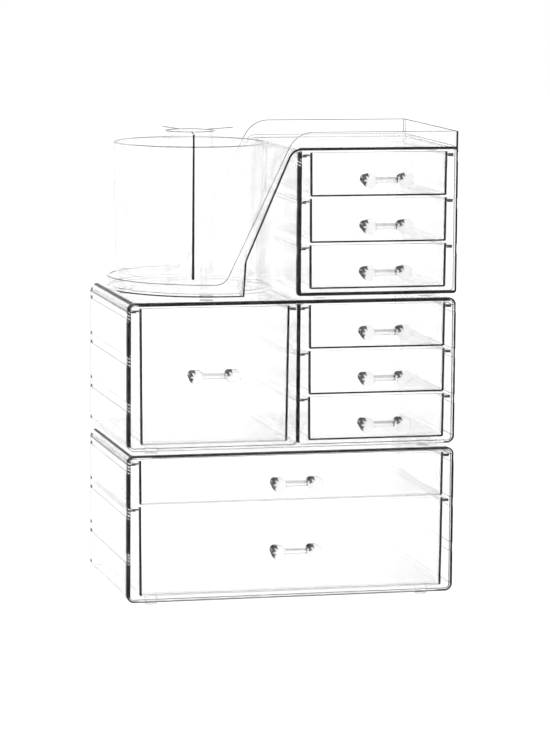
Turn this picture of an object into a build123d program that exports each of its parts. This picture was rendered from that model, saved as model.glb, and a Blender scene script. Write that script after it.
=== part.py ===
from build123d import *
import math
import os

os.makedirs("parts", exist_ok=True)

# ---------------------------------------------------------------- driving sizes, in millimetres
case_width = 240.0  # full-width case, outside
case_depth = 138.0  # case, front edge to back face
case_height = 105.2  # one case without its feet
column_width = 117.5  # narrow right-hand column, outside
side_wall = 2.8
top_wall = 2.4
bottom_wall = 2.4
back_wall = 2.2
corner_radius = 5.5  # long edges of the full-width cases
small_corner = 2.5  # long edges of the upper case
bay_corner = 2.2
foot_radius = 4.5
foot_height = 3.4
foot_inset_side = 20.0
foot_inset_end = 13.0
dimple_depth = 0.4  # each deck is dimpled where the feet of the next case stand
dimple_clearance = 0.4
groove_depth = 0.25  # shallow outside band along each pair of rails
groove_height = 6.6
groove_below_front = 1.0  # top of the band under the drawer's top edge
groove_end = 6.0  # plain wall left at the back of the band

drawer_slots = 3  # shallow drawers in the height of one case
drawer_gap = 1.4  # between one drawer front and the next
drawer_drop = 3.3  # drawer's top edge under the top of its case
drawer_floor_gap = 2.5  # under the lowest drawer
drawer_side_gap = 5.45  # case wall to drawer side
drawer_back_gap = 3.0
front_proud = 1.0  # drawer front ahead of the case's front edge
front_panel = 2.4
drawer_wall = 2.0
drawer_floor = 2.0
drawer_draft = 0.6  # degrees, each side
drawer_corner = 1.5
front_lip = 1.5  # front panel's top edge over the side walls
lip_width = 4.9
lip_thickness = 1.2
rail_width = 4.2
rail_thickness = 1.0
rail_clearance = 0.15  # under the lip
rail_front_gap = 3.0  # rail's front end behind the case's front edge

knob_spacing = 26.5
knob_root_radius = 3.3
knob_front_radius = 5.4
knob_length = 16.0
knob_sides = 8
knob_chamfer = 0.7
handle_bar_height = 4.0
handle_bar_depth = 4.6
handle_bar_reach = 11.0  # drawer front's face to the bar's middle
handle_bar_corner = 1.2
# the middle of each handle from the middle of its drawer front, across and up
lower_shallow_handle = (0.0, -1.8)
lower_deep_handle = (0.0, -1.3)
wide_handle = (-3.1, 1.0)
narrow_handle = (2.5, -3.3)
peg_radius = 1.95
peg_length = 2.6
peg_clearance = 0.05

tray_sheet = 2.2
tray_wall = 2.0
tray_rim = 11.0  # upright rim over the deck
base_rim = 9.0  # top of the rim round the base, over the tray's underside
rim_slope = 64.5  # degrees, rim's edge down the ramp
rim_foot_gap = 52.6  # upper case to where the sloping edge would meet the base rim
rim_top_radius = 20.0
rim_foot_radius = 10.0
ramp_head_gap = 3.9  # upper case to the upper corner of the ramp sheet's middle line
ramp_run = 33.4  # from that corner to the lower one, level
ramp_sheet = 1.3  # level, across the sloping sheet
ramp_foot_height = 25.5
ramp_end_run = 1.6  # from the lower corner to the foot of the ramp's end wall, level
ramp_head_radius = 9.0
ramp_foot_radius = 8.0
well_gap = 1.45  # well's wall to the upper case, at the deck
well_wall = 2.0
well_draft = 1.0  # degrees

turntable_plate_inset = 12.0  # plate's edge inside the disc's edge
turntable_plate = 1.3
race_inset = 4.5  # race's middle inside the plate's edge
race_width = 3.0
race_height = 1.1
spindle_radius = 5.0
spindle_clearance = 0.05
disc_inset = 1.3  # disc's edge inside the foot of the cup
disc_thickness = 3.5
cap_radius = 9.0
cap_thickness = 1.25
cap_recess_clearance = 0.6
cap_lift = 0.15
cap_plug_radius = 2.0
cap_plug_length = 1.6
cap_plug_clearance = 0.02

cup_height = 97.4
cup_gap = 2.4  # cup's rim inside the well, as wide as at the base
cup_narrowing = 1.9  # from the rim to the foot, in radius
cup_wall = 2.0
cup_floor = 2.0
cup_foot_recess = 0.8
cup_foot_width = 3.0
cup_rim_radius = 0.9

column_radius = 18.3
column_wall = 1.8
fin_thickness = 1.8
fin_clearance = 0.5
fin_corner = 6.0
fin_angles = [-102.5, 38.0, 102.0]  # degrees from +X
fin_shifts = [-2.6, 0.0, 0.0]  # each fin's plane off the column's axis
divider_above_rim = 8.0

# ---------------------------------------------------------------- places worked out from them
handle_reach = front_proud + knob_length
front_y = handle_reach - (case_depth + handle_reach) / 2
back_y = front_y + case_depth
middle_y = (front_y + back_y) / 2
left_x = -case_width / 2
right_x = case_width / 2
column_left = right_x - column_width
unit_step = foot_height - dimple_depth + case_height
lower_z = foot_height
middle_z = lower_z + unit_step
upper_z = middle_z + unit_step
free_width = case_width - column_width
well_growth = case_height * math.tan(math.radians(well_draft))
well_radius = (free_width - well_gap - well_growth) / 2 - well_wall  # inside, at the base
well_x = left_x + well_radius + well_wall
drawer_space = case_height - drawer_drop - bottom_wall - drawer_floor_gap
drawer_pitch = (drawer_space + drawer_gap) / drawer_slots
slope_run = 1 / math.tan(math.radians(rim_slope))
rim_slope_foot = free_width - rim_foot_gap
ramp_head = free_width - ramp_head_gap
ramp_foot = ramp_head - ramp_run
ramp_end = ramp_foot - ramp_end_run
cup_top_radius = well_radius - cup_gap
cup_bottom_radius = cup_top_radius - cup_narrowing
disc_radius = cup_bottom_radius - disc_inset
turntable_plate_radius = disc_radius - turntable_plate_inset
race_radius = turntable_plate_radius - race_inset
inner_depth = case_depth - back_wall
drawer_length = front_proud + inner_depth - drawer_back_gap
foot_depth_span = case_depth - 2 * foot_inset_end


def drawer_top(unit_z, slot):
    return unit_z + case_height - drawer_drop - slot * drawer_pitch


def front_height(pitches):
    return pitches * drawer_pitch - drawer_gap


def centred_plane(height):
    # level plane over the middle of the cases, from front to back
    return Plane(origin=(0, middle_y, height))


def save(piece, name):
    piece.label = name
    export_step(piece, f"parts/{name}.step")


# ---------------------------------------------------------------- cases
def rail_middle(unit_z, slot):
    # height of the rail that carries the drawer's lip
    lip_foot = drawer_top(unit_z, slot) - front_lip - lip_thickness
    return lip_foot - rail_clearance - rail_thickness / 2


def make_case(unit_z, left, width, radius, bays, grooved_sides, dimple_spans, open_top=False):
    # open-front box; each bay is (left, right, slots)
    centre_x = left + width / 2
    height = case_height - tray_sheet if open_top else case_height
    ceiling = unit_z + height + bay_corner if open_top else unit_z + height - top_wall
    bay_floor = unit_z + bottom_wall
    foot_span = width - 2 * foot_inset_side
    square_corners = 1 if open_top else 0
    with BuildPart() as case:
        with BuildSketch(Plane.XZ.offset(-front_y)):
            with Locations((centre_x, unit_z + height / 2)):
                Rectangle(width, height)
            corners = vertices().sort_by_distance((left + width, unit_z + height))
            fillet(corners[square_corners:], radius)
        extrude(amount=-case_depth)
        for bay_left, bay_right, slots in bays:
            with BuildSketch(Plane.XZ.offset(-front_y)):
                with Locations(((bay_left + bay_right) / 2, (bay_floor + ceiling) / 2)):
                    RectangleRounded(bay_right - bay_left, ceiling - bay_floor, bay_corner)
            extrude(amount=-inner_depth, mode=Mode.SUBTRACT)
            with BuildSketch(Plane.XZ.offset(-front_y - rail_front_gap)):
                for side in (bay_left + rail_width / 2, bay_right - rail_width / 2):
                    for slot in slots:
                        with Locations((side, rail_middle(unit_z, slot))):
                            Rectangle(rail_width, rail_thickness)
            extrude(amount=rail_front_gap - inner_depth)
        with BuildSketch(Plane.XZ.offset(-front_y)):
            for side in grooved_sides:
                for slot in range(drawer_slots):
                    band_top = drawer_top(unit_z, slot) - groove_below_front
                    with Locations((side, band_top - groove_height / 2)):
                        Rectangle(2 * groove_depth, groove_height)
        extrude(amount=groove_end - case_depth, mode=Mode.SUBTRACT)
        with BuildSketch(centred_plane(unit_z)):
            with Locations((centre_x, 0)):
                with GridLocations(foot_span, foot_depth_span, 2, 2):
                    Circle(foot_radius)
        extrude(amount=-foot_height)
        for span_centre, span in dimple_spans:
            with BuildSketch(centred_plane(unit_z + case_height)):
                with Locations((span_centre, 0)):
                    with GridLocations(span, foot_depth_span, 2, 2):
                        Circle(foot_radius + dimple_clearance)
            extrude(amount=-dimple_depth, mode=Mode.SUBTRACT)
    return case.part


full_feet = (0.0, case_width - 2 * foot_inset_side)
column_feet = (column_left + column_width / 2, column_width - 2 * foot_inset_side)
tray_feet = [
    (well_x, front_y + foot_inset_end),
    (well_x, back_y - foot_inset_end),
    (left_x + foot_inset_end, middle_y),
]

lower_case = make_case(
    lower_z, left_x, case_width, corner_radius,
    [(left_x + side_wall, right_x - side_wall, (0, 1))],
    (left_x, right_x), [full_feet],
)
save(lower_case, "lower_case")

with BuildPart() as middle_case:
    add(make_case(
        middle_z, left_x, case_width, corner_radius,
        [
            (left_x + side_wall, column_left, (0,)),
            (column_left + side_wall, right_x - side_wall, (0, 1, 2)),
        ],
        (left_x, right_x), [column_feet],
    ))
    with BuildSketch(Plane.XY.offset(middle_z + case_height)):
        with Locations(*tray_feet):
            Circle(foot_radius + dimple_clearance)
    extrude(amount=-dimple_depth, mode=Mode.SUBTRACT)
save(middle_case.part, "middle_case")

upper_case = make_case(
    upper_z, column_left, column_width, small_corner,
    [(column_left + side_wall, right_x - side_wall, (0, 1, 2))],
    (column_left, right_x), [], open_top=True,
)
save(upper_case, "upper_case")


# ---------------------------------------------------------------- top tray
def from_left(x, z):
    # a point of the tray's side profile, from the left side and the tray's underside
    return (left_x + x, upper_z + z)


rim_top = case_height + tray_rim
sloping_head = rim_slope_foot + (rim_top - base_rim) * slope_run
half_sheet = tray_sheet / 2
half_ramp = ramp_sheet / 2


def draw_footprint(inset):
    # half-round left end, square right end
    with Locations((left_x + (case_depth / 2 + case_width - inset) / 2, 0)):
        Rectangle(case_width - case_depth / 2 - inset, case_depth - 2 * inset)
    with Locations((left_x + case_depth / 2, 0)):
        Circle(case_depth / 2 - inset)


def draw_well(radius):
    with Locations((well_x, middle_y)):
        Circle(radius)


# over the sheet, inside the upright rim
with BuildPart() as tray_hollow:
    with BuildSketch(centred_plane(upper_z)):
        draw_footprint(tray_wall)
    extrude(amount=rim_top + tray_rim)
    with BuildSketch(Plane.XZ.offset(-front_y)):
        with BuildLine():
            sheet_top = FilletPolyline(
                from_left(0, tray_sheet),
                from_left(ramp_end - half_ramp, tray_sheet),
                from_left(ramp_foot - half_ramp, ramp_foot_height),
                from_left(ramp_head - half_ramp, case_height),
                from_left(case_width, case_height),
                radius=[tray_sheet, ramp_foot_radius, ramp_head_radius + half_sheet],
            )
            Polyline(
                sheet_top @ 1,
                from_left(case_width, 2 * rim_top),
                from_left(0, 2 * rim_top),
                sheet_top @ 0,
            )
        make_face()
    extrude(amount=-case_depth, mode=Mode.INTERSECT)

# round the cup, down to the base
with BuildPart() as tray_well:
    with BuildSketch(Plane.XY.offset(upper_z + tray_sheet)):
        draw_well(well_radius)
    extrude(amount=rim_top, taper=-well_draft)
    with BuildSketch(centred_plane(upper_z)):
        draw_footprint(tray_wall)
    extrude(amount=2 * rim_top, mode=Mode.INTERSECT)

# under the ramp and the deck, outside the well's wall
with BuildPart() as tray_under:
    with BuildSketch(Plane.XZ.offset(-front_y)):
        with BuildLine():
            sheet_under = FilletPolyline(
                from_left(ramp_end + half_ramp, 0),
                from_left(ramp_foot + half_ramp, ramp_foot_height),
                from_left(ramp_head + half_ramp, case_height - tray_sheet),
                from_left(case_width, case_height - tray_sheet),
                radius=[ramp_foot_radius + ramp_sheet, ramp_head_radius - half_sheet],
            )
            Polyline(sheet_under @ 1, from_left(case_width, 0), sheet_under @ 0)
        make_face()
    extrude(amount=-case_depth)
    with BuildSketch(Plane.XY.offset(upper_z)):
        draw_well(well_radius + well_wall)
    extrude(amount=rim_top, taper=-well_draft, mode=Mode.SUBTRACT)

with BuildPart() as top_tray:
    # everything under the rim's edge, over the whole footprint
    with BuildSketch(Plane.XZ.offset(-front_y)):
        with BuildLine():
            edge = FilletPolyline(
                from_left(0, base_rim),
                from_left(rim_slope_foot, base_rim),
                from_left(sloping_head, rim_top),
                from_left(case_width, rim_top),
                radius=[rim_foot_radius, rim_top_radius],
            )
            Polyline(edge @ 1, from_left(case_width, 0), from_left(0, 0), edge @ 0)
        make_face()
    extrude(amount=-case_depth)
    with BuildSketch(centred_plane(upper_z)):
        draw_footprint(0)
    extrude(amount=rim_top, mode=Mode.INTERSECT)
    add(tray_hollow.part, mode=Mode.SUBTRACT)
    add(tray_well.part, mode=Mode.SUBTRACT)
    add(tray_under.part, mode=Mode.SUBTRACT)
    with BuildSketch(Plane.XY.offset(upper_z)):
        with Locations(*tray_feet):
            Circle(foot_radius)
    extrude(amount=-foot_height)
save(top_tray.part, "top_tray")


# ---------------------------------------------------------------- turntable
plate_z = upper_z + tray_sheet
disc_z = plate_z + turntable_plate + race_height
cup_z = disc_z + disc_thickness
cap_z = cup_z - cap_thickness

with BuildPart() as turntable_base:
    with BuildSketch(Plane.XY.offset(plate_z)):
        with Locations((well_x, middle_y)):
            Circle(turntable_plate_radius)
    extrude(amount=turntable_plate)
    with BuildSketch(Plane.XY.offset(plate_z + turntable_plate)):
        with Locations((well_x, middle_y)):
            Circle(race_radius + race_width / 2)
            Circle(race_radius - race_width / 2, mode=Mode.SUBTRACT)
    extrude(amount=race_height)
    with BuildSketch(Plane.XY.offset(plate_z + turntable_plate)):
        with Locations((well_x, middle_y)):
            Circle(spindle_radius)
    extrude(amount=cap_z - plate_z - turntable_plate)
    with BuildSketch(Plane.XY.offset(cap_z)):
        with Locations((well_x, middle_y)):
            Circle(cap_plug_radius + cap_plug_clearance)
    extrude(amount=-cap_plug_length - cap_lift, mode=Mode.SUBTRACT)
save(turntable_base.part, "turntable_base")

with BuildPart() as turntable_disc:
    with BuildSketch(Plane.XY.offset(disc_z)):
        with Locations((well_x, middle_y)):
            Circle(disc_radius)
            Circle(spindle_radius + spindle_clearance, mode=Mode.SUBTRACT)
    extrude(amount=disc_thickness)
    chamfer(edges().filter_by(GeomType.CIRCLE).group_by(SortBy.RADIUS)[-1], 0.5)
    with BuildSketch(Plane.XY.offset(cup_z)):
        with Locations((well_x, middle_y)):
            Circle(cap_radius + cap_recess_clearance)
    extrude(amount=-cap_thickness - cap_lift, mode=Mode.SUBTRACT)
save(turntable_disc.part, "turntable_disc")

with BuildPart() as pivot_cap:
    with BuildSketch(Plane.XY.offset(cap_z)):
        with Locations((well_x, middle_y)):
            Circle(cap_radius)
    extrude(amount=cap_thickness)
    with BuildSketch(Plane.XY.offset(cap_z)):
        with Locations((well_x, middle_y)):
            Circle(cap_plug_radius)
    extrude(amount=-cap_plug_length)
save(pivot_cap.part, "pivot_cap")


# ---------------------------------------------------------------- brush cup and its divider
cup_taper = (cup_top_radius - cup_bottom_radius) / cup_height
cup_plane = Plane(origin=(well_x, middle_y, cup_z), x_dir=(1, 0, 0), z_dir=(0, -1, 0))
cup_inside_floor = cup_foot_recess + cup_floor
divider_top = cup_height + divider_above_rim


def cup_radius(height):
    return cup_bottom_radius + cup_taper * height


def fin_reach(height):
    return cup_radius(height) - cup_wall - fin_clearance


with BuildPart() as brush_cup:
    with BuildSketch(cup_plane):
        with BuildLine():
            wall = Polyline(
                (0, cup_inside_floor),
                (0, cup_foot_recess),
                (cup_radius(0) - cup_foot_width, cup_foot_recess),
                (cup_radius(0) - cup_foot_width, 0),
                (cup_radius(0), 0),
                (cup_radius(cup_height), cup_height),
                (cup_radius(cup_height) - cup_wall, cup_height),
                (cup_radius(cup_inside_floor) - cup_wall, cup_inside_floor),
                close=True,
            )
        make_face()
        fillet(vertices().group_by(Axis.Y)[-1], cup_rim_radius)
    revolve(axis=Axis((well_x, middle_y, 0), (0, 0, 1)))
save(brush_cup.part, "brush_cup")

with BuildPart() as cup_divider:
    with BuildSketch(Plane.XY.offset(cup_z + cup_inside_floor)):
        with Locations((well_x, middle_y)):
            Circle(column_radius)
    extrude(amount=divider_top - cup_inside_floor)
    for angle, shift in zip(fin_angles, fin_shifts):
        across = math.radians(angle)
        fin_plane = Plane(
            origin=(well_x, middle_y, cup_z),
            x_dir=(math.cos(across), math.sin(across), 0),
            z_dir=(math.sin(across), -math.cos(across), 0),
        )
        with BuildSketch(fin_plane.offset(shift - fin_thickness / 2)):
            Polygon(
                (0, cup_inside_floor),
                (fin_reach(cup_inside_floor), cup_inside_floor),
                (fin_reach(cup_height), divider_top),
                (0, divider_top),
                align=None,
            )
            fillet(vertices().sort_by_distance((fin_reach(cup_height), divider_top))[0], fin_corner)
        extrude(amount=fin_thickness)
    with BuildSketch(Plane.XY.offset(cup_z + cup_inside_floor)):
        with Locations((well_x, middle_y)):
            Circle(column_radius - column_wall)
    extrude(amount=divider_top, mode=Mode.SUBTRACT)
save(cup_divider.part, "cup_divider")


# ---------------------------------------------------------------- drawers
taper_run = math.tan(math.radians(drawer_draft))
face_y = front_y - front_proud


def draw_tub(centre_x, half_width, top, bottom):
    # section across a drawer: sides drafted inwards, lower corners rounded
    foot = half_width - (top - bottom) * taper_run
    Polygon(
        (centre_x - half_width, top),
        (centre_x - foot, bottom),
        (centre_x + foot, bottom),
        (centre_x + half_width, top),
        align=None,
    )
    fillet(vertices().group_by(Axis.Y)[0], drawer_corner)


def handle_place(unit_z, bay_left, bay_right, slot, pitches, shift):
    # middle of the handle on the drawer front, (x, z)
    middle = drawer_top(unit_z, slot) - front_height(pitches) / 2
    return ((bay_left + bay_right) / 2 + shift[0], middle + shift[1])


def make_drawer(unit_z, bay_left, bay_right, slot, pitches, handle_shift):
    top = drawer_top(unit_z, slot)
    bottom = top - front_height(pitches)
    centre_x = (bay_left + bay_right) / 2
    half_width = (bay_right - bay_left) / 2 - drawer_side_gap
    side_top = top - front_lip
    side_half = half_width - front_lip * taper_run
    lip_middle = side_half - drawer_wall / 2 + (lip_width + drawer_wall / 2) / 2
    with BuildPart() as drawer:
        with BuildSketch(Plane.XZ.offset(-face_y)):
            draw_tub(centre_x, half_width, top, bottom)
        extrude(amount=-front_panel)
        with BuildSketch(Plane.XZ.offset(-face_y)):
            draw_tub(centre_x, side_half, side_top, bottom)
        extrude(amount=-drawer_length)
        with BuildSketch(Plane.XZ.offset(-front_y)):
            with Locations(
                (centre_x - lip_middle, side_top - lip_thickness / 2),
                (centre_x + lip_middle, side_top - lip_thickness / 2),
            ):
                SlotOverall(lip_width + drawer_wall / 2, lip_thickness)
        extrude(amount=front_proud - drawer_length)
        with BuildSketch(Plane.XZ.offset(-face_y - front_panel)):
            draw_tub(centre_x, half_width - drawer_wall, top, bottom + drawer_floor)
        extrude(amount=front_panel + drawer_wall - drawer_length, mode=Mode.SUBTRACT)
        with BuildSketch(Plane.XZ.offset(-face_y)):
            with Locations(handle_place(unit_z, bay_left, bay_right, slot, pitches, handle_shift)):
                with GridLocations(knob_spacing, 0, 2, 1):
                    Circle(peg_radius + peg_clearance)
        extrude(amount=-front_panel, mode=Mode.SUBTRACT)
    return drawer.part


# ---------------------------------------------------------------- handles
def draw_knob(middle, radius):
    # flat sides up, down, left and right
    with Locations(middle):
        RegularPolygon(radius, knob_sides, major_radius=False, rotation=180 / knob_sides)


def make_handle(centre_x, centre_z):
    left_knob = (centre_x - knob_spacing / 2, centre_z)
    right_knob = (centre_x + knob_spacing / 2, centre_z)
    front_plane = Plane.XZ.offset(-face_y + knob_length)
    with BuildPart() as handle:
        for knob in (left_knob, right_knob):
            with BuildSketch(Plane.XZ.offset(-face_y)):
                draw_knob(knob, knob_root_radius)
            with BuildSketch(front_plane.offset(-knob_chamfer)):
                draw_knob(knob, knob_front_radius)
            loft()
            with BuildSketch(front_plane.offset(-knob_chamfer)):
                draw_knob(knob, knob_front_radius)
            with BuildSketch(front_plane):
                draw_knob(knob, knob_front_radius - knob_chamfer)
            loft()
        with BuildSketch(Plane.YZ.offset(left_knob[0])):
            with Locations((face_y - handle_bar_reach, centre_z)):
                RectangleRounded(handle_bar_depth, handle_bar_height, handle_bar_corner)
        extrude(amount=knob_spacing)
        with BuildSketch(Plane.XZ.offset(-face_y)):
            with Locations(left_knob, right_knob):
                Circle(peg_radius)
        extrude(amount=-peg_length)
    return handle.part


lower_bay = (left_x + side_wall, right_x - side_wall)
wide_bay = (left_x + side_wall, column_left)
narrow_bay = (column_left + side_wall, right_x - side_wall)
drawer_list = [
    ("lower_drawer_shallow", lower_z, lower_bay, 0, 1, lower_shallow_handle),
    ("lower_drawer_deep", lower_z, lower_bay, 1, 2, lower_deep_handle),
    ("middle_drawer_deep", middle_z, wide_bay, 0, 3, wide_handle),
    ("middle_drawer_top", middle_z, narrow_bay, 0, 1, narrow_handle),
    ("middle_drawer_centre", middle_z, narrow_bay, 1, 1, narrow_handle),
    ("middle_drawer_bottom", middle_z, narrow_bay, 2, 1, narrow_handle),
    ("upper_drawer_top", upper_z, narrow_bay, 0, 1, narrow_handle),
    ("upper_drawer_centre", upper_z, narrow_bay, 1, 1, narrow_handle),
    ("upper_drawer_bottom", upper_z, narrow_bay, 2, 1, narrow_handle),
]
for name, unit_z, bay, slot, pitches, handle_shift in drawer_list:
    drawer = make_drawer(unit_z, bay[0], bay[1], slot, pitches, handle_shift)
    save(drawer, name)
    handle = make_handle(*handle_place(unit_z, bay[0], bay[1], slot, pitches, handle_shift))
    save(handle, name.replace("drawer", "handle"))
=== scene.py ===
import bpy
import bmesh
import math
import numpy as np
from mathutils import Matrix, Vector


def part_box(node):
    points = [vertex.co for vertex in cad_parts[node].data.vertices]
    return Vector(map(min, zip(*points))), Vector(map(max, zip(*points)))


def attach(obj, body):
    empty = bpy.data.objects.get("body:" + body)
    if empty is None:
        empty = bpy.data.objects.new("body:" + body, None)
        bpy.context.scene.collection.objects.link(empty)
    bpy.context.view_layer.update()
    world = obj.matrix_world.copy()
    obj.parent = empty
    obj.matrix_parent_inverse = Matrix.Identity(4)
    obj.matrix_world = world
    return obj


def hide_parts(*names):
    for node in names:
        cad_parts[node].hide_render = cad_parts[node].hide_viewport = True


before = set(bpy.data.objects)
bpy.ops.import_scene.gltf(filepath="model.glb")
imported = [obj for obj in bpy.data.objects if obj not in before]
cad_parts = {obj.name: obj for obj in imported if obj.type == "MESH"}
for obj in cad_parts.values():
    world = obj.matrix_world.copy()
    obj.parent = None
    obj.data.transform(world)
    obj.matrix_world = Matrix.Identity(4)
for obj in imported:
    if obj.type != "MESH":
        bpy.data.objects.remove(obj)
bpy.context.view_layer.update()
scene = bpy.context.scene
print("frame loaded")

# shapes, places and the stage are in metres; the masks that the materials paint are in millimetres


# a node tree emptied, with its output node
def emptyTree(owner, outputType):
    owner.use_nodes = True
    tree = owner.node_tree
    tree.nodes.clear()
    return tree, tree.nodes.new(outputType)


# one sum in a material's tree; each term is a number or the output of another node
def maths(tree, operation, *terms):
    node = tree.nodes.new("ShaderNodeMath")
    node.operation = operation
    for slot, term in zip(node.inputs, terms):
        if isinstance(term, (int, float)):
            slot.default_value = term
        else:
            tree.links.new(term, slot)
    return node.outputs[0]


# the largest of several masks
def anyOf(tree, *masks):
    total = masks[0]
    for mask in masks[1:]:
        total = maths(tree, "MAXIMUM", total, mask)
    return total


# the product of several masks
def allOf(tree, *masks):
    total = masks[0]
    for mask in masks[1:]:
        total = maths(tree, "MULTIPLY", total, mask)
    return total


# 1 where a value lies between two limits, else 0
def between(tree, value, low, high):
    return maths(tree, "COMPARE", value, (low + high) / 2, (high - low) / 2)


# the square of a length, from its two sides
def squareOf(tree, across, along):
    return maths(tree, "ADD", maths(tree, "MULTIPLY", across, across), maths(tree, "MULTIPLY", along, along))


# one strength where a mask is 1, another where it is 0
def strengthBy(tree, mask, inside, outside):
    return maths(tree, "ADD", maths(tree, "MULTIPLY", mask, inside - outside), outside)


# the piece's own coordinates in millimetres
def placeInMm(tree):
    place = tree.nodes.new("ShaderNodeTexCoord")
    parts = tree.nodes.new("ShaderNodeSeparateXYZ")
    tree.links.new(place.outputs["Object"], parts.inputs[0])
    return [maths(tree, "MULTIPLY", part, 1000.0) for part in parts.outputs]


# 1 on faces that look forwards
def facesFront(tree):
    mostTurned = -0.5  # the normal's y, 60 degrees from straight ahead
    geometry = tree.nodes.new("ShaderNodeNewGeometry")
    parts = tree.nodes.new("ShaderNodeSeparateXYZ")
    tree.links.new(geometry.outputs["True Normal"], parts.inputs[0])
    return maths(tree, "LESS_THAN", parts.outputs[1], mostTurned)


# rectangles (left, right, foot, top, strength) seen from the front, as one mask
def strips(tree, x, z, rectangles):
    total = 0.0
    for left, right, foot, top, strength in rectangles:
        one = allOf(tree, between(tree, x, left, right), between(tree, z, foot, top), strength)
        total = maths(tree, "MAXIMUM", one, total)
    return total


# a line of given width just inside a rounded rectangle, from its distance formula:
# outside a corner's centre the distance is the radius less the length to it, elsewhere to the nearer side
def outline(tree, x, z, box):
    left, right, foot, top, radius, width = box
    fromMiddle = maths(tree, "ABSOLUTE", maths(tree, "SUBTRACT", x, (left + right) / 2))
    fromCentre = maths(tree, "ABSOLUTE", maths(tree, "SUBTRACT", z, (foot + top) / 2))
    across = maths(tree, "SUBTRACT", fromMiddle, (right - left) / 2 - radius)
    tall = maths(tree, "SUBTRACT", fromCentre, (top - foot) / 2 - radius)
    square = squareOf(tree, maths(tree, "MAXIMUM", across, 0.0), maths(tree, "MAXIMUM", tall, 0.0))
    side = maths(tree, "MINIMUM", maths(tree, "MAXIMUM", across, tall), 0.0)
    return maths(tree, "GREATER_THAN", maths(tree, "ADD", maths(tree, "SQRT", square), side), radius - width)


# 1 within half a width of a path of points (x, z): the distance to each run is the length from the
# point to the nearest place on that run
def alongPath(tree, x, z, points, width):
    near = []
    for (x0, z0), (x1, z1) in zip(points[:-1], points[1:]):
        runX, runZ = x1 - x0, z1 - z0
        square = runX ** 2 + runZ ** 2
        fromX = maths(tree, "SUBTRACT", x, x0)
        fromZ = maths(tree, "SUBTRACT", z, z0)
        share = maths(tree, "ADD", maths(tree, "MULTIPLY", fromX, runX / square),
                      maths(tree, "MULTIPLY", fromZ, runZ / square))
        share = maths(tree, "MINIMUM", maths(tree, "MAXIMUM", share, 0.0), 1.0)
        offX = maths(tree, "SUBTRACT", fromX, maths(tree, "MULTIPLY", share, runX))
        offZ = maths(tree, "SUBTRACT", fromZ, maths(tree, "MULTIPLY", share, runZ))
        near.append(maths(tree, "LESS_THAN", squareOf(tree, offX, offZ), (width / 2) ** 2))
    return anyOf(tree, *near)


# painted highlight: slanting light marks, cut out of the painted shade, where the outside bands run out
# through the front edge
def hatching(tree, x, z, look):
    slant = maths(tree, "ADD", maths(tree, "MULTIPLY", z, look["hatchAlong"]),
                  maths(tree, "MULTIPLY", x, look["hatchAcross"]))
    marks = maths(tree, "GREATER_THAN", maths(tree, "SINE", slant), look["hatchShare"])
    return allOf(tree, marks, strips(tree, x, z, look["hatchPlaces"]))


# 0 where a surface faces the eye, rising to 1 where it is seen edge-on
def grazing(tree, first, last):
    weight = tree.nodes.new("ShaderNodeLayerWeight")
    weight.inputs["Blend"].default_value = 0.5
    ramp = tree.nodes.new("ShaderNodeMapRange")
    ramp.inputs["From Min"].default_value = first
    ramp.inputs["From Max"].default_value = last
    tree.links.new(weight.outputs["Facing"], ramp.inputs["Value"])
    return ramp.outputs["Result"]


# the finish shared by all the clear pieces, and how their sharp edges are rounded; lift and ahead move
# a piece by a few hundredths or tenths of a mm, so that it doesn't share a plane with what it touches
clearLook = dict(ior=1.2, gloss=0.25, clear=1.0, solid=0.5, rough=0.0, flowScale=18.0, flowDetail=2.0,
                 tintLow=(0.997, 0.998, 0.997), tintHigh=(1.0, 1.0, 1.0), tintSpread=(0.3, 0.7),
                 paintedEdgeShade=(0.001, 0.0011, 0.0011), paintedFrom=0.02, edgeRound=0.0004, edgeSteps=3,
                 outerOnly=False, ahead=0.0, lift=0.0)
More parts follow.
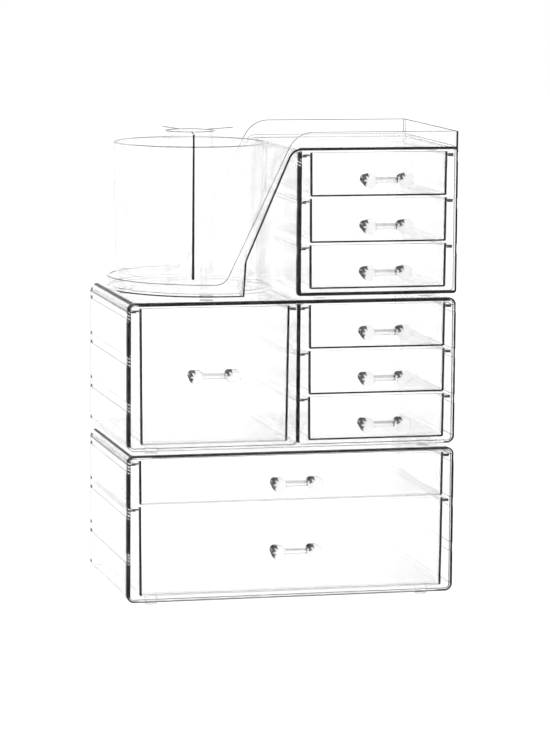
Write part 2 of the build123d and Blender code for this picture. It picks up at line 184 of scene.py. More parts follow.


# clear moulded plastic: a thin-bodied glass with faint flow marks, which lets the lamps through;
# darkOf gives the mask of painted shade: dark edges and lines painted into the colour in place of the dark
# that total reflection inside the plastic gives
def clearPlastic(name, look, darkOf=None):
    mat = bpy.data.materials.new(name)
    tree, out = emptyTree(mat, "ShaderNodeOutputMaterial")
    nodes, links = tree.nodes, tree.links
    body = nodes.new("ShaderNodeBsdfPrincipled")
    body.inputs["IOR"].default_value = look["ior"]
    body.inputs["Transmission Weight"].default_value = look["clear"]
    body.inputs["Specular Tint"].default_value = (look["gloss"], look["gloss"], look["gloss"], 1)
    body.inputs["Alpha"].default_value = look["solid"]
    body.inputs["Roughness"].default_value = look["rough"]
    place = nodes.new("ShaderNodeTexCoord")
    flow = nodes.new("ShaderNodeTexNoise")
    flow.inputs["Scale"].default_value = look["flowScale"]
    flow.inputs["Detail"].default_value = look["flowDetail"]
    links.new(place.outputs["Object"], flow.inputs["Vector"])
    tone = nodes.new("ShaderNodeValToRGB")
    for stop, position, tint in zip(tone.color_ramp.elements, look["tintSpread"], ("tintLow", "tintHigh")):
        stop.position = position
        stop.color = (*look[tint], 1)
    links.new(flow.outputs["Fac"], tone.inputs["Fac"])
    colour = tone.outputs["Color"]
    if darkOf:
        # painted shade: where the mask is, the colour turns near black and the plastic solid
        dark = darkOf(tree, *placeInMm(tree), look)
        paintedShade = nodes.new("ShaderNodeMix")
        paintedShade.data_type = "RGBA"
        links.new(dark, paintedShade.inputs[0])
        links.new(colour, paintedShade.inputs[6])
        paintedShade.inputs[7].default_value = (*look["paintedEdgeShade"], 1)
        colour = paintedShade.outputs[2]
        if look["solid"] < 1:
            painted = maths(tree, "GREATER_THAN", dark, look["paintedFrom"])
            links.new(maths(tree, "MAXIMUM", painted, look["solid"]), body.inputs["Alpha"])
    links.new(colour, body.inputs["Base Color"])
    path = nodes.new("ShaderNodeLightPath")
    through = nodes.new("ShaderNodeBsdfTransparent")
    mix = nodes.new("ShaderNodeMixShader")
    links.new(path.outputs["Is Shadow Ray"], mix.inputs[0])
    links.new(body.outputs[0], mix.inputs[1])
    links.new(through.outputs[0], mix.inputs[2])
    links.new(mix.outputs[0], out.inputs["Surface"])
    return mat


# how a CAD node's mesh is cleaned: angles in degrees, narrowest in widths of the rounded edge
mouldLook = dict(weld=2e-6, flatWithin=0.5, cornerOver=40, narrowest=4.2, sharpOver=30)


# a copy of a CAD node with its triangles merged, its flat faces whole and its sharp edges rounded;
# an edge stays sharp where the strip beside it, its area over the edge's length, is too narrow
def mouldedCopy(node, look):
    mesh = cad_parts[node].data.copy()
    bm = bmesh.new()
    bm.from_mesh(mesh)
    bmesh.ops.remove_doubles(bm, verts=bm.verts, dist=mouldLook["weld"])
    flat = math.radians(mouldLook["flatWithin"])
    bmesh.ops.dissolve_limit(bm, angle_limit=flat, verts=bm.verts, edges=bm.edges)
    weights = bm.edges.layers.float.new("bevel_weight_edge")
    corner = math.radians(mouldLook["cornerOver"])
    for edge in bm.edges:
        wanted = edge.is_convex or not look["outerOnly"]
        if wanted and len(edge.link_faces) == 2 and edge.calc_face_angle() > corner:
            smallest = min(face.calc_area() for face in edge.link_faces)
            strip = smallest / max(edge.calc_length(), look["edgeRound"])
            edge[weights] = float(strip > mouldLook["narrowest"] * look["edgeRound"])
    bm.to_mesh(mesh)
    bm.free()
    points = np.empty(len(mesh.vertices) * 3)
    mesh.vertices.foreach_get("co", points)
    points = points.reshape(-1, 3) + np.array([0, look["ahead"], look["lift"]])
    mesh.vertices.foreach_set("co", points.ravel())
    mesh.update()
    mesh.shade_smooth()
    mesh.set_sharp_from_angle(angle=math.radians(mouldLook["sharpOver"]))
    piece = bpy.data.objects.new(node + "_moulding", mesh)
    scene.collection.objects.link(piece)
    rounding = piece.modifiers.new("edge", "BEVEL")
    rounding.width = look["edgeRound"]
    rounding.segments = look["edgeSteps"]
    rounding.limit_method = "WEIGHT"
    rounding.use_clamp_overlap = False
    rounding.material = 1
    largeFirst = piece.modifiers.new("flat faces", "WEIGHTED_NORMAL")
    largeFirst.weight = 100
    largeFirst.keep_sharp = True
    return piece


# puts a piece on its body, with its materials, in place of its CAD nodes
def fitPiece(piece, mats, body, slot, *nodes):
    piece.data.materials.clear()
    for mat in mats:
        piece.data.materials.append(mat)
    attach(piece, body)
    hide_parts(*nodes)


ringLook = dict(weld=1e-7, smallest=1e-8, sharpOver=35)  # the last in degrees


# one closed surface from rows of points: each row joins the next, and every row is a closed ring;
# where rowsMeet is true the last row joins the first
def ringMesh(name, rings, rowsMeet=False):
    rows, across = rings.shape[:2]
    here = np.arange(rows * across).reshape(rows, across)
    if rowsMeet:
        low, high = here, np.roll(here, -1, axis=0)
    else:
        low, high = here[:-1], here[1:]
    faces = np.stack([low, np.roll(low, -1, axis=1), np.roll(high, -1, axis=1), high], axis=-1).reshape(-1, 4)
    mesh = bpy.data.meshes.new(name)
    mesh.from_pydata(rings.reshape(-1, 3).tolist(), [], faces.tolist())
    bm = bmesh.new()
    bm.from_mesh(mesh)
    bmesh.ops.remove_doubles(bm, verts=bm.verts, dist=ringLook["weld"])
    bmesh.ops.dissolve_degenerate(bm, edges=bm.edges, dist=ringLook["smallest"])
    bmesh.ops.recalc_face_normals(bm, faces=bm.faces)
    bm.to_mesh(mesh)
    bm.free()
    mesh.shade_smooth()
    mesh.set_sharp_from_angle(angle=math.radians(ringLook["sharpOver"]))
    piece = bpy.data.objects.new(name, mesh)
    scene.collection.objects.link(piece)
    return piece


# an arc from one direction to another, in degrees, as points (across, up)
def arcPoints(centre, radius, start, end, steps):
    turn = np.radians(np.linspace(start, end, steps))
    return np.stack([centre[0] + radius * np.cos(turn), centre[1] + radius * np.sin(turn)], axis=-1)


# painted shade: rounded edges are painted as fine dark lines, darker at the front
def lineDark(tree, x, y, z, look):
    front = maths(tree, "LESS_THAN", y, look["frontAt"])
    return strengthBy(tree, front, look["frontLine"], look["restLine"])


lineLook = dict(clearLook, solid=1.0, ior=1.02, frontAt=-59.5, frontLine=0.9, restLine=0.3)
linePlastic = clearPlastic("rounded edges", lineLook, lineDark)
caseLinePlastic = clearPlastic("cases' rounded edges", dict(lineLook, frontLine=1.0, restLine=0.7), lineDark)


# painted shade: the tray's outside edges and its low rim are painted as dark lines, its inner edges as faint
# ones
def trayLineDark(tree, x, y, z, look):
    front = maths(tree, "LESS_THAN", y, look["frontAt"])
    back = maths(tree, "GREATER_THAN", y, look["backAt"])
    right = maths(tree, "GREATER_THAN", x, look["rightAt"])
    low = maths(tree, "LESS_THAN", z, look["lowUnder"])
    return strengthBy(tree, anyOf(tree, front, back, right, low), look["frontLine"], look["restLine"])


trayLineLook = dict(lineLook, frontLine=0.95, restLine=0.2, backAt=75.3, rightAt=117.8, lowUnder=231.0)
trayLinePlastic = clearPlastic("tray's rounded edges", trayLineLook, trayLineDark)

unitTops = {"lower": 105.3, "middle": 213.5, "upper": 321.7}  # top edge of each unit's highest drawer
decks = {"lower": 108.6, "middle": 216.8, "upper": 330.0}  # top of each case
drawerPitch = 32.8


# painted shade on a case's side wall: dark lines at the outside bands' edges and the rounded corners' ends;
# each line ends in a short upright mark, and the wall's rear is painted grey
def sideDark(tree, x, y, z, look):
    lines, marks = [0.0], [0.0]
    lowest, highest = look["markHeights"]
    for height, thick, strength in look["sideLines"]:
        line = between(tree, z, height - thick / 2, height + thick / 2)
        lines.append(maths(tree, "MULTIPLY", line, strength))
        marks.append(between(tree, z, height + lowest, height + highest))
    ends = allOf(tree, anyOf(tree, *marks), between(tree, y, *look["markDepths"]))
    rear = maths(tree, "MULTIPLY", maths(tree, "GREATER_THAN", y, look["rearFrom"]), look["rearGrey"])
    side = maths(tree, "GREATER_THAN", maths(tree, "ABSOLUTE", x), look["sideFrom"])
    return allOf(tree, anyOf(tree, *lines, ends, rear), side)


# painted shade on a case's front edge: broad dark strips and a fine outline, less the painted highlight
# hatching; the front ends of the rails, the side walls' painted lines and a dark band along the deck's left
# edge, all painted shade
def caseDark(tree, x, y, z, look):
    marks = strips(tree, x, z, look["strips"])
    if look["outline"]:
        shown = strips(tree, x, z, look["outlineShown"])
        marks = anyOf(tree, marks, allOf(tree, outline(tree, x, z, look["outline"]), shown))
    marks = allOf(tree, marks, maths(tree, "LESS_THAN", y, look["front"] + look["shadeDepth"]))
    marks = maths(tree, "SUBTRACT", marks, hatching(tree, x, z, look))
    first, last = look["railDepths"]
    rails = allOf(tree, facesFront(tree), between(tree, y, look["front"] + first, look["front"] + last))
    left, right, strength = look["deckLine"]
    onDeck = maths(tree, "GREATER_THAN", z, look["deck"] - look["deckDepth"])
    shoulder = allOf(tree, between(tree, x, left, right), onDeck, strength)
    return anyOf(tree, marks, rails, sideDark(tree, x, y, z, look), shoulder)


# heights of the outside bands' edges below the highest drawer's top, and the lines on them
bandEdges = [edge - slot * drawerPitch for slot in range(3) for edge in (-1.0, -7.6)]
bandLine = (0.5, 0.8)  # thickness, strength
cornerLines = [(-5.6, 0.9, 1.0), (-99.6, 0.6, 0.8)]  # height from the deck, thickness, strength


# a case's side lines as (height, thickness, strength)
def sideLinesOf(unit):
    bands = [(unitTops[unit] + edge, *bandLine) for edge in bandEdges]
    return bands + [(decks[unit] + height, thick, strength) for height, thick, strength in cornerLines]


# the hatched places on a full-width case's left edge, from the height at which the case starts
def hatchesFrom(foot):
    return [(-120.2, -117, foot + low, foot + high, 1) for low, high in ((31, 39), (64, 72), (96, 104))]


caseFront = dict(clearLook, ior=1.1, solid=0.65, front=-60.5, shadeDepth=3.8, railDepths=(2.6, 3.4),
                 sideFrom=119.3, markHeights=(-0.3, 2.2), markDepths=(69.5, 74.5), rearFrom=74.6,
                 rearGrey=0.6, hatchAlong=2.7, hatchAcross=1.6, hatchShare=0.5, deckDepth=1.0, outline=None)
caseLooks = {
    "lower": dict(caseFront, lift=0.0,
                  strips=[(-120.1, -117.1, 7, 105, 1), (118.2, 120.1, 8, 104, 1),
                          (-102, 115, 106.9, 108.4, 0.95)],
                  outline=(-120, 120, 3.4, 108.6, 5.5, 1.3),
                  outlineShown=[(-121, 121, 7, 109, 1), (-121, -112, 3, 7, 1), (-112, 108, 3, 4.4, 0.95),
                                (108, 121, 3, 7, 1)],
                  sideLines=sideLinesOf("lower"), deckLine=(-118.2, -115.8, 1),
                  hatchPlaces=hatchesFrom(0)),
    "middle": dict(caseFront, lift=0.00003,
                   strips=[(-120.1, -117.1, 115, 213, 1), (118.5, 120.1, 116, 212, 1),
                           (-112, 115, 214.7, 216.7, 1), (2.6, 5.0, 115, 214.5, 1)],
                   outline=(-120, 120, 111.6, 216.8, 5.5, 1.4),
                   outlineShown=[(-121, 121, 118, 217, 1), (112, 121, 111, 118, 1)],
                   sideLines=sideLinesOf("middle"), deckLine=(-118.2, -114.6, 1),
                   hatchPlaces=hatchesFrom(108)),
    "upper": dict(caseFront, solid=0.35, lift=0.00006, edgeRound=0.0003,
                  strips=[(2.4, 5.4, 221, 322, 1), (118.5, 120.1, 221, 323, 1),
                          (2.5, 119.5, 219.8, 222.0, 1)],
                  sideLines=[], deckLine=(2.4, 2.5, 0), hatchPlaces=[(2.4, 5.5, 312, 317, 1)]),
}
for unit in ("lower", "middle", "upper"):
    look = dict(caseLooks[unit], deck=decks[unit])
    case = mouldedCopy(f"{unit}_case", look)
    fitPiece(case, [clearPlastic(f"clear {unit} case", look, caseDark), caseLinePlastic],
             f"{unit}_unit", "case_clear", f"{unit}_case")
print("cases done")


# painted shade along the front edge of the tray's deck, ramp and base, and of its end wall
def trayDark(tree, x, y, z, look):
    ramp = alongPath(tree, x, z, look["ramp"], look["rampLine"])
    front = maths(tree, "LESS_THAN", y, look["front"] + look["shadeDepth"])
    marks = allOf(tree, anyOf(tree, strips(tree, x, z, look["strips"]), ramp), front)
    # the base's outside wall, a straight run with a round end: the length from the end's centre tells it
    # from the underside
    outX = maths(tree, "MINIMUM", maths(tree, "SUBTRACT", x, look["endCentre"][0]), 0.0)
    outY = maths(tree, "SUBTRACT", y, look["endCentre"][1])
    wall = maths(tree, "GREATER_THAN", squareOf(tree, outX, outY), look["endRadius"] ** 2)
    foot = allOf(tree, between(tree, z, *look["foot"]), maths(tree, "LESS_THAN", y, look["footBack"]), wall)
    return anyOf(tree, marks, foot)


trayLook = dict(clearLook, solid=0.3, lift=0.0001, front=-60.5, shadeDepth=0.5,
                strips=[(3.0, 120.1, 322.9, 325.0, 1), (118.3, 120.1, 322.9, 336.1, 1)],
                ramp=[(4.6, 323.9), (1.1, 323.2), (-1.6, 321.3), (-3.7, 318.4), (-34.2, 246.8),
                      (-35.1, 243.7), (-36.4, 219.8)],
                rampLine=1.6, foot=(219.7, 221.0), footBack=-10.0, endCentre=(-51.0, 8.5), endRadius=68.6)
tray = mouldedCopy("top_tray", trayLook)
fitPiece(tray, [clearPlastic("clear tray", trayLook, trayDark), trayLinePlastic],
         "upper_unit", "case_clear", "top_tray")
print("tray done")


# painted shade on the edges of a drawer front, which leans in towards its foot, and on the front ends of its
# lips
def drawerDark(tree, x, y, z, look):
    out = maths(tree, "ABSOLUTE", maths(tree, "SUBTRACT", x, look["middle"]))
    leaning = maths(tree, "MULTIPLY", maths(tree, "SUBTRACT", look["top"], z), look["lean"])
    out = maths(tree, "ADD", out, leaning)
    sides = maths(tree, "GREATER_THAN", out, look["half"] - look["sideLine"])
    low = maths(tree, "LESS_THAN", z, look["foot"] + look["footLine"])
    foot = maths(tree, "MULTIPLY", low, look["footStrength"])
    front = maths(tree, "LESS_THAN", y, look["front"] + look["shadeDepth"])
    panel = allOf(tree, anyOf(tree, sides, foot), front)
    lips = allOf(tree, maths(tree, "GREATER_THAN", out, look["half"] + look["lipOut"]),
                 maths(tree, "LESS_THAN", y, look["front"] + look["lipDepth"]))
    return anyOf(tree, panel, lips)


drawerFront = dict(clearLook, solid=0.6, edgeRound=0.0003, tintLow=(0.995, 0.996, 0.995), front=-61.5,
                   shadeDepth=0.4, lean=0.01047, sideLine=1.8, footLine=1.4, footStrength=1.0, lipOut=0.2,
                   lipDepth=1.6)
bays = {"lower": (0.0, 111.75), "wide": (-57.35, 54.4), "narrow": (61.25, 50.5)}  # middle, half width
# bay, slot from the top, height of the front, and what is the drawer's own
drawerPlaces = {
    "lower_drawer_shallow": ("lower", 0, 31.4, dict(footStrength=0.5)),
    "lower_drawer_deep": ("lower", 1, 64.2, dict(footStrength=0.25)),
    "middle_drawer_deep": ("wide", 0, 97.0, dict(footStrength=0.6)),
    "middle_drawer_top": ("narrow", 0, 31.4, {}),
    "middle_drawer_centre": ("narrow", 1, 31.4, {}),
    "middle_drawer_bottom": ("narrow", 2, 31.4, {}),
    "upper_drawer_top": ("narrow", 0, 31.4, {}),
    "upper_drawer_centre": ("narrow", 1, 31.4, {}),
    "upper_drawer_bottom": ("narrow", 2, 31.4, {}),
}


# a drawer, its look worked out from its bay and its slot
def makeDrawer(node, unit, lift):
    bay, slot, tall, own = drawerPlaces[node]
    top = unitTops[unit] - slot * drawerPitch
    middle, half = bays[bay]
    look = dict(drawerFront, lift=lift, top=top, foot=top - tall, middle=middle, half=half, **own)
    drawer = mouldedCopy(node, look)
    front = clearPlastic("clear " + node, look, drawerDark)
    fitPiece(drawer, [front, linePlastic], node, "drawer_clear", node)


# painted shade: the bar between the knobs is painted grey along its upper part and in a thin line at its foot
def barDark(tree, x, y, z, look):
    above = maths(tree, "SUBTRACT", z, look["barHeight"])
    out = maths(tree, "ABSOLUTE", maths(tree, "SUBTRACT", x, look["middle"]))
    upper = maths(tree, "MULTIPLY", between(tree, above, *look["upperBand"]), look["upperGrey"])
    lower = maths(tree, "MULTIPLY", between(tree, above, *look["lowerBand"]), look["lowerGrey"])
    return allOf(tree, maths(tree, "LESS_THAN", out, look["barHalf"]), anyOf(tree, upper, lower))


# the knob that a point belongs to: -1 the left one, 1 the right one
def knobSide(tree, x, look):
    return maths(tree, "SIGN", maths(tree, "SUBTRACT", x, look["middle"]))


# how far a point lies to the left of its knob's axis, and above it
def fromKnob(tree, x, z, look):
    out = maths(tree, "SUBTRACT", x, look["middle"])
    axis = maths(tree, "MULTIPLY", knobSide(tree, x, look), look["knobOut"])
    return maths(tree, "SUBTRACT", axis, out), maths(tree, "SUBTRACT", z, look["barHeight"])


# the turn round a knob's axis, up from the left, and how far it is from its facet's middle, in facets
def facetTurn(tree, toLeft, up, look):
    turn = maths(tree, "ARCTAN2", up, toLeft)
    facet = maths(tree, "MULTIPLY", turn, look["facets"] / (2 * math.pi))
    return turn, maths(tree, "ABSOLUTE", maths(tree, "SUBTRACT", facet, maths(tree, "ROUND", facet)))


# painted shade: a knob's flank is painted dark on the facets that look up and to the left; on each of them a
# clear wedge opens towards the front: with the turn round the knob's axis, the dark reaches furthest at the
# facet's edges
def flankDark(tree, x, y, z, look):
    toLeft, up = fromKnob(tree, x, z, look)
    turn, fromMiddle = facetTurn(tree, toLeft, up, look)
    ahead = maths(tree, "MULTIPLY", maths(tree, "SUBTRACT", look["root"], y), 1 / look["length"])
    reach = maths(tree, "ADD", maths(tree, "MULTIPLY", fromMiddle, look["edgeReach"]), look["middleReach"])
    return allOf(tree, maths(tree, "LESS_THAN", ahead, reach), between(tree, turn, *look["darkTurn"]))


# painted shade on the front of a knob, for the same facets seen through it: dark from the rim inwards,
# deepest at their corners; on the right knob the dark starts level with the axis, on the left one below it
def knobFrontDark(tree, x, y, z, look):
    toLeft, up = fromKnob(tree, x, z, look)
    turn, fromMiddle = facetTurn(tree, toLeft, up, look)
    fromAxis = maths(tree, "SQRT", squareOf(tree, toLeft, up))
    inwards = maths(tree, "SUBTRACT", 1.0, maths(tree, "MULTIPLY", fromAxis, 1 / look["frontRadius"]))
    reach = maths(tree, "ADD", maths(tree, "MULTIPLY", fromMiddle, look["frontEdge"]), look["frontMiddle"])
    onLeft = maths(tree, "SUBTRACT", 1.0, knobSide(tree, x, look))  # 2 on the left knob, 0 on the right one
    first = maths(tree, "MULTIPLY", onLeft, look["frontTurn"][0] / 2)
    return allOf(tree, maths(tree, "LESS_THAN", inwards, reach), maths(tree, "GREATER_THAN", turn, first),
                 maths(tree, "LESS_THAN", turn, look["frontTurn"][1]), look["frontGrey"])


# knobs: knobOut from the handle's middle to a knob's axis, turns in radians, facing 1 straight ahead
knobShape = dict(knobOut=13.25, facets=8)
handleLook = dict(clearLook, **knobShape, outerOnly=True, ahead=-0.00004, barHalf=9.5, upperBand=(0.0, 2.3),
                  upperGrey=0.38, lowerBand=(-2.2, -1.3), lowerGrey=0.28, root=-61.5, length=16.0,
                  middleReach=0.9, edgeReach=1.2, darkTurn=(-1.1, 2.0), knobFrom=8.5, frontFacing=0.7,
                  flankFacing=-0.6)
knobFrontLook = dict(clearLook, **knobShape, solid=0.45, clear=0.3, rough=0.5, tintLow=(0.8, 0.8, 0.8),
                     tintHigh=(0.86, 0.86, 0.86), frontRadius=5.4, frontMiddle=0.12, frontEdge=1.0,
                     frontTurn=(-0.9, 1.25), frontGrey=0.93)
# the knobs' rounded edges take a grey tint, painted shade like the dark lines on the other rounded edges
knobEdgeLook = dict(knobFrontLook, solid=0.5, clear=1.0, rough=0.0, tintLow=(0.6, 0.6, 0.6),
                    tintHigh=(0.7, 0.7, 0.7))


# gives each face of a handle its finish: 2 the knobs' fronts, 3 the faces round them, 0 all others;
# 1 is left to the rounded edges
def finishFaces(mesh, look):
    normals = np.empty(len(mesh.polygons) * 3)
    centres = np.empty(len(mesh.polygons) * 3)
    mesh.polygons.foreach_get("normal", normals)
    mesh.polygons.foreach_get("center", centres)
    facing = -normals.reshape(-1, 3)[:, 1]
    onKnob = np.abs(centres.reshape(-1, 3)[:, 0] * 1000 - look["middle"]) > look["knobFrom"]
    onFlank = np.where(onKnob & (facing > look["flankFacing"]), 3, 0)
    finish = np.where(onKnob & (facing > look["frontFacing"]), 2, onFlank)
    mesh.polygons.foreach_set("material_index", finish.astype(np.int32))
    mesh.update()


# a handle, with materials of its own because the masks start from its middle
def makeHandle(node, body, lift):
    low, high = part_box(node)
    place = dict(middle=(low[0] + high[0]) * 500.0, barHeight=(low[2] + high[2]) * 500.0)  # mm
    look = dict(handleLook, lift=lift, **place)
    handle = mouldedCopy(node, look)
    bar = clearPlastic("clear " + node, look, barDark)
    flank = clearPlastic("knob flanks " + node, dict(look, solid=1.0, ior=1.02), flankDark)
    knobFront = clearPlastic("knob fronts " + node, dict(knobFrontLook, **place), knobFrontDark)
    knobEdge = clearPlastic("knob edges " + node, dict(knobEdgeLook, **place), knobFrontDark)
    fitPiece(handle, [bar, knobEdge, knobFront, flank], body, "handle_clear", node)
    finishFaces(handle.data, look)


for node in drawerPlaces:
    unit = node.split("_")[0]
    lift = caseLooks[unit]["lift"]
    makeDrawer(node, unit, lift)
    makeHandle(node.replace("drawer", "handle"), node, lift)
print("drawers and handles done")

turntableLook = dict(clearLook, solid=0.12)
turntablePlastic = clearPlastic("clear turntable", turntableLook)
for node, body, lift in (("turntable_base", "upper_unit", 0.00013), ("pivot_cap", "upper_unit", 0.00015),
                         ("turntable_disc", "cup_turntable", 0.00016)):
    part = mouldedCopy(node, dict(turntableLook, lift=lift))
    fitPiece(part, [turntablePlastic, turntablePlastic], body, "turntable_clear", node)
print("turntable done")

cupAxis = dict(x=-0.060393, y=0.0085)
cupLook = dict(clearLook, **cupAxis, solid=0.25, lift=0.0002, foot=0.2279, height=0.0974, footRadius=0.053307,
               rimRadius=0.055207, wall=0.002, floor=0.002, recess=0.0008, footWidth=0.003,
               footChamfer=(0.0005, 0.0006), rimRound=0.0009, floorRound=0.0015,
               nearRing=0.0003, nextRing=0.001, wallRings=8, rimSteps=9, floorSteps=6, around=128,
               turned=(0.82, 0.93), turnedGrey=0.95, wallHeights=(231.5, 324.6),
               rimHeights=(324.6, 326.0), rimGrey=0.7)


# painted shade: the cup's wall is painted darker where it turns away from the eye, and along its rim
def cupDark(tree, x, y, z, look):
    turned = allOf(tree, grazing(tree, *look["turned"]), look["turnedGrey"],
                   between(tree, z, *look["wallHeights"]))
    rim = maths(tree, "MULTIPLY", between(tree, z, *look["rimHeights"]), look["rimGrey"])
    return anyOf(tree, turned, rim)


# the cup's section turned about its axis: foot ring, leaning wall, round rim, inside wall and floor;
# the rings stand close together at the wall's ends, where it meets a round
def makeCup(look):
    radius, top, wall = look["footRadius"], look["height"], look["wall"]
    near, apart, rounding = look["nearRing"], look["nextRing"], look["floorRound"]
    lean = (look["rimRadius"] - radius) / top
    rise = top - look["rimRound"]
    inside = look["recess"] + look["floor"]
    rim = arcPoints((radius + lean * top - wall / 2, rise), look["rimRound"], 0, 180, look["rimSteps"])
    rim[:, 0] += (wall / 2 - look["rimRound"]) * np.cos(np.radians(np.linspace(0, 180, look["rimSteps"])))
    chamferIn, chamferUp = look["footChamfer"]
    heights = np.linspace(2 * apart, rise - apart, look["wallRings"])
    heights = np.concatenate([[chamferUp, apart], heights, [rise - near]])
    outer = np.stack([radius + lean * heights, heights], axis=-1)
    heights = np.linspace(rise - apart, inside + rounding + apart, look["wallRings"])
    heights = np.concatenate([[rise - near], heights, [inside + rounding + near]])
    inner = np.stack([radius + lean * heights - wall, heights], axis=-1)
    centre = (radius + lean * inside - wall - rounding, inside + rounding)
    corner = arcPoints(centre, rounding, 0, -90, look["floorSteps"])[1:]
    ring = radius - look["footWidth"]
    under = [[0, look["recess"]], [ring, look["recess"]], [ring, 0], [radius - chamferIn, 0]]
    section = np.concatenate([under, outer, rim, inner, corner, [[0, inside]]])
    turn = np.linspace(0, 2 * np.pi, look["around"], endpoint=False)
    x = look["x"] + section[:, :1] * np.cos(turn)
    y = look["y"] + section[:, :1] * np.sin(turn)
    z = look["foot"] + look["lift"] + section[:, 1:] + 0 * turn
    return ringMesh("brush_cup_wall", np.stack([x, y, z], axis=-1))


cupPlastic = clearPlastic("clear cup", cupLook, cupDark)
fitPiece(makeCup(cupLook), [cupPlastic], "cup_turntable", "cup_clear", "brush_cup")

# angles of the fins in degrees, and how far each is shifted to its left, looking out
dividerLook = dict(clearLook, **cupAxis, solid=0.2, lift=0.00024, foot=0.2307, top=0.3333, outer=0.0183,
                   wall=0.0018, angles=(-102.5, 38.0, 102.0), shifts=(0.0026, 0.0, 0.0), thickTop=0.0014,
                   thickFoot=0.0019, reachFoot=0.05086, reachTop=0.0527, corner=0.006, cornerSteps=9,
                   columnSteps=12, finShares=(0.0, 0.35, 0.7, 1.0), arcSteps=26, turned=(0.88, 0.97),
                   turnedGrey=1.0, tipFront=-39.5, columnEdge=18.7, columnHeights=(232.0, 333.0),
                   rimHeights=(333.0, 334.0), rimGrey=0.85)


# painted shade: the divider is painted dark along the front fin's end, and grey where the column turns away
# and along the top
def dividerDark(tree, x, y, z, look):
    outX = maths(tree, "SUBTRACT", x, look["x"] * 1000)
    outY = maths(tree, "SUBTRACT", y, look["y"] * 1000)
    onColumn = maths(tree, "LESS_THAN", maths(tree, "SQRT", squareOf(tree, outX, outY)), look["columnEdge"])
    turned = allOf(tree, grazing(tree, *look["turned"]), look["turnedGrey"], onColumn,
                   between(tree, z, *look["columnHeights"]))
    rim = maths(tree, "MULTIPLY", between(tree, z, *look["rimHeights"]), look["rimGrey"])
    tip = maths(tree, "LESS_THAN", y, look["tipFront"])
    return anyOf(tree, turned, rim, tip)


# the divider's plan, a ring with three fins, carried up the column: at each height the fins' reach
# follows the cup's lean and the round corner at the top, and their thickness shrinks a little
def makeDivider(look):
    tall = look["top"] - look["foot"]
    cornerShare = look["corner"] / tall
    bend = np.radians(np.linspace(0, 90, look["cornerSteps"])[1:])
    straight = np.linspace(0, 1 - cornerShare, look["columnSteps"])
    climb = np.concatenate([straight, 1 - cornerShare * (1 - np.sin(bend))])
    fall = np.concatenate([0 * straight, look["corner"] * (1 - np.cos(bend))])
    reach = look["reachFoot"] + (look["reachTop"] - look["reachFoot"]) * climb - fall
    half = (look["thickFoot"] + (look["thickTop"] - look["thickFoot"]) * climb) / 2
    turns = np.radians(look["angles"])
    loops = []
    for k, turn in enumerate(turns):
        along = np.array([np.cos(turn), np.sin(turn)])
        side = np.array([-np.sin(turn), np.cos(turn)])
        # out along the fin's right side and back along its left one
        for sign in (-1, 1):
            edge = look["shifts"][k] + sign * half
            root = np.sqrt(look["outer"] ** 2 - edge ** 2)
            for share in look["finShares"][::-sign]:
                out = root + (reach - root) * share
                loops.append(out[:, None] * along + edge[:, None] * side)
        # round the column to the next fin's root
        start = np.arctan2(*(loops[-1][:, ::-1].T))
        following = (k + 1) % len(turns)
        lap = 2 * np.pi if following == 0 else 0
        first = turns[following] + np.arcsin((look["shifts"][following] - half) / look["outer"]) + lap
        for share in np.linspace(0, 1, look["arcSteps"])[1:-1]:
            angle = start + (first - start) * share
            loops.append(look["outer"] * np.stack([np.cos(angle), np.sin(angle)], axis=-1))
    plan = np.stack(loops, axis=1)
    height = np.broadcast_to((look["foot"] + tall * climb)[:, None, None], plan.shape[:2] + (1,))
    outside = np.concatenate([plan, height], axis=-1)
    # the hollow's ring: the same points drawn in to the inner radius
    ends = plan[[-1, 0]]
    inward = ends / np.linalg.norm(ends, axis=-1, keepdims=True) * (look["outer"] - look["wall"])
    tops = np.array([look["top"], look["foot"]])[:, None, None] + np.zeros(inward.shape[:2] + (1,))
    inside = np.concatenate([inward, tops], axis=-1)
    rings = np.concatenate([outside, inside]) + np.array([look["x"], look["y"], look["lift"]])
    return ringMesh("cup_divider_fins", rings, rowsMeet=True)


dividerPlastic = clearPlastic("clear divider", dividerLook, dividerDark)
fitPiece(makeDivider(dividerLook), [dividerPlastic], "divider", "cup_clear", "cup_divider")
print("cup and divider done")

# pale floor, white to the camera, which still takes the object's shadow
floorLook = dict(size=12.0, drop=0.0003, grey=0.35, glow=0.9)
half = floorLook["size"] / 2
plan = [(-half, -half), (half, -half), (half, half), (-half, half)]
floorMesh = bpy.data.meshes.new("floor")
floorMesh.from_pydata([(x, y, -floorLook["drop"]) for x, y in plan], [], [(0, 1, 2, 3)])
floor = bpy.data.objects.new("floor", floorMesh)
scene.collection.objects.link(floor)
floorPaint = bpy.data.materials.new("floor")
tree, out = emptyTree(floorPaint, "ShaderNodeOutputMaterial")
matt = tree.nodes.new("ShaderNodeBsdfDiffuse")
matt.inputs["Color"].default_value = (floorLook["grey"],) * 3 + (1,)
glow = tree.nodes.new("ShaderNodeEmission")
glow.inputs["Strength"].default_value = floorLook["glow"]
both = tree.nodes.new("ShaderNodeAddShader")
tree.links.new(matt.outputs[0], both.inputs[0])
tree.links.new(glow.outputs[0], both.inputs[1])
tree.links.new(both.outputs[0], out.inputs["Surface"])
floorMesh.materials.append(floorPaint)

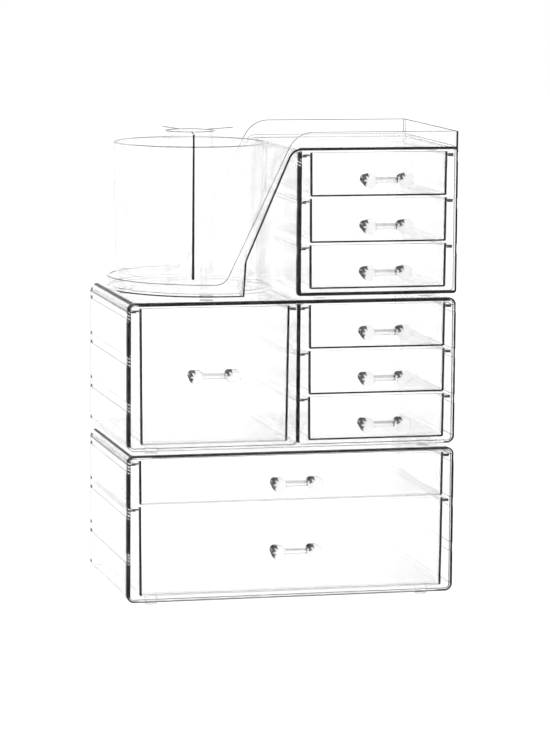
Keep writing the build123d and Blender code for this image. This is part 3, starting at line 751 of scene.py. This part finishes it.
# soft white room, brighter where it is seen directly, in a reflection or through the plastic than as light
roomLook = dict(light=0.7, seen=1.0)
room = bpy.data.worlds.new("room")
scene.world = room
tree, out = emptyTree(room, "ShaderNodeOutputWorld")
light = tree.nodes.new("ShaderNodeBackground")
light.inputs["Strength"].default_value = roomLook["light"]
seen = tree.nodes.new("ShaderNodeBackground")
seen.inputs["Strength"].default_value = roomLook["seen"]
for background in (light, seen):
    background.inputs["Color"].default_value = (1, 1, 1, 1)
path = tree.nodes.new("ShaderNodeLightPath")
rays = [path.outputs[ray] for ray in ("Is Camera Ray", "Is Glossy Ray", "Is Transmission Ray")]
choose = tree.nodes.new("ShaderNodeMixShader")
tree.links.new(anyOf(tree, *rays), choose.inputs[0])
tree.links.new(light.outputs[0], choose.inputs[1])
tree.links.new(seen.outputs[0], choose.inputs[2])
tree.links.new(choose.outputs[0], out.inputs["Surface"])

lampLook = dict(power=12.0, size=1.5, place=(-1.2, -1.5, 2.0), target=(0, 0, 0.15))
lamp = bpy.data.lights.new("softbox", "AREA")
lamp.energy = lampLook["power"]
lamp.size = lampLook["size"]
softbox = bpy.data.objects.new("softbox", lamp)
scene.collection.objects.link(softbox)
softbox.location = lampLook["place"]
softbox.rotation_mode = "QUATERNION"
softbox.rotation_quaternion = (Vector(lampLook["target"]) - softbox.location).to_track_quat("-Z", "Y")
print("stage done")

# camera in front, a little to the left and a little above; angles in radians, lens and sensor in mm
cameraLook = dict(place=(-0.61796, -2.51424, 0.50556), yaw=0.24163, pitch=0.131970, roll=0.0080145,
                  lens=176.67, sensor=36)
yaw, pitch, roll = cameraLook["yaw"], cameraLook["pitch"], cameraLook["roll"]
ahead = Vector((math.sin(yaw) * math.cos(pitch), math.cos(yaw) * math.cos(pitch), -math.sin(pitch)))
level = Vector((math.cos(yaw), -math.sin(yaw), 0))
upright = level.cross(ahead)
right = math.cos(roll) * level + math.sin(roll) * upright
up = math.cos(roll) * upright - math.sin(roll) * level
lens = bpy.data.cameras.new("camera")
lens.lens = cameraLook["lens"]
lens.sensor_width = cameraLook["sensor"]
camera = bpy.data.objects.new("camera", lens)
scene.collection.objects.link(camera)
place = Matrix((right, up, -ahead)).transposed().to_4x4()
place.translation = Vector(cameraLook["place"])
camera.matrix_world = place
scene.camera = camera

# many layers of clear plastic need many bounces
bounces = dict(clear=24, gloss=8)
scene.cycles.max_bounces = bounces["clear"]
scene.cycles.transmission_bounces = bounces["clear"]
scene.cycles.transparent_max_bounces = bounces["clear"]
scene.cycles.glossy_bounces = bounces["gloss"]
scene.view_settings.view_transform = "Standard"
